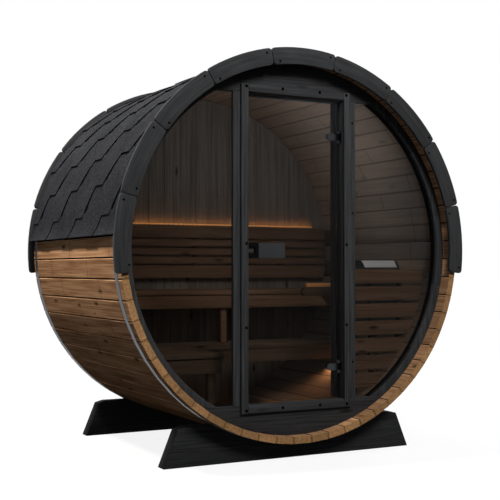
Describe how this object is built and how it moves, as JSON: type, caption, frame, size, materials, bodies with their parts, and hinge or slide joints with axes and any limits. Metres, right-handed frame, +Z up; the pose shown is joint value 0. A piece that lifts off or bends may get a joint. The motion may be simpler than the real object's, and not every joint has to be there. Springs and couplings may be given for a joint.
{
  "type": "barrel sauna",
  "caption": "Barrel sauna: round stave room on two cradles with shingled roof, steel hoops, tinted glass front, hinged glass door, benches, backrest and a guarded heater.",
  "frame": {"origin": "on the ground under the middle of the barrel, at the bottom centre of the whole object's box", "axes": "+Z up, +Y from the glazed front to the back wall along the barrel axis, +X to the right seen from the front"},
  "size_m": [2.132, 1.495, 2.1833],
  "materials": {
    "thermowood": "planed and oiled, heat-treated",
    "black_wood": "black stained, satin",
    "bench_wood": "planed, untreated",
    "shingle": "mineral-faced bitumen",
    "galvanised_steel": "galvanised",
    "tinted_glass": "bronze tinted, polished",
    "hinge_metal": "polished",
    "handle_grey": "dark grey satin",
    "catch_black": "black, matt",
    "light": "warm white diffuser",
    "heater_black": "black heat-resistant paint",
    "heater_steel": "brushed"
  },
  "bodies": {
    "shell": {"roof_staves": "thermowood", "right_staves": "thermowood", "floor_staves": "thermowood", "left_staves": "thermowood", "back_wall": "thermowood", "left_glazing_ring": "thermowood", "right_glazing_ring": "thermowood", "front_fascia": "black_wood", "rear_fascia": "black_wood", "front_cradle": "black_wood", "rear_cradle": "black_wood", "front_header": "black_wood", "front_sill": "black_wood", "left_window_ring": "black_wood", "right_window_ring": "black_wood", "left_post": "black_wood", "right_post": "black_wood", "door_frame": "black_wood", "upper_bench": "bench_wood", "upper_bench_frame": "bench_wood", "lower_bench": "bench_wood", "lower_bench_frame": "bench_wood", "backrest": "bench_wood", "backrest_battens": "bench_wood", "heater_guard": "bench_wood", "guard_posts": "bench_wood", "heater_rail": "bench_wood", "left_shingles": "shingle", "right_shingles": "shingle", "ridge_cap": "shingle", "roof_underlay": "shingle", "front_hoop": "galvanised_steel", "rear_hoop": "galvanised_steel", "left_window": "tinted_glass", "right_window": "tinted_glass", "upper_hinge_plate": "hinge_metal", "lower_hinge_plate": "hinge_metal", "light_strip": "light", "heater": "heater_black", "heater_hood": "heater_steel"},
    "door": {"door_glass": "tinted_glass", "upper_hinge_clamp": "hinge_metal", "lower_hinge_clamp": "hinge_metal", "door_handle": "handle_grey", "door_catch": "catch_black"}
  },
  "joints": [
    {"name": "door_swing", "type": "hinge", "parent": "shell", "child": "door", "pos_m": [0.282, -0.6325, 1.1175], "axis": [0, 0, 1], "range_deg": [0, 90]}
  ]
}
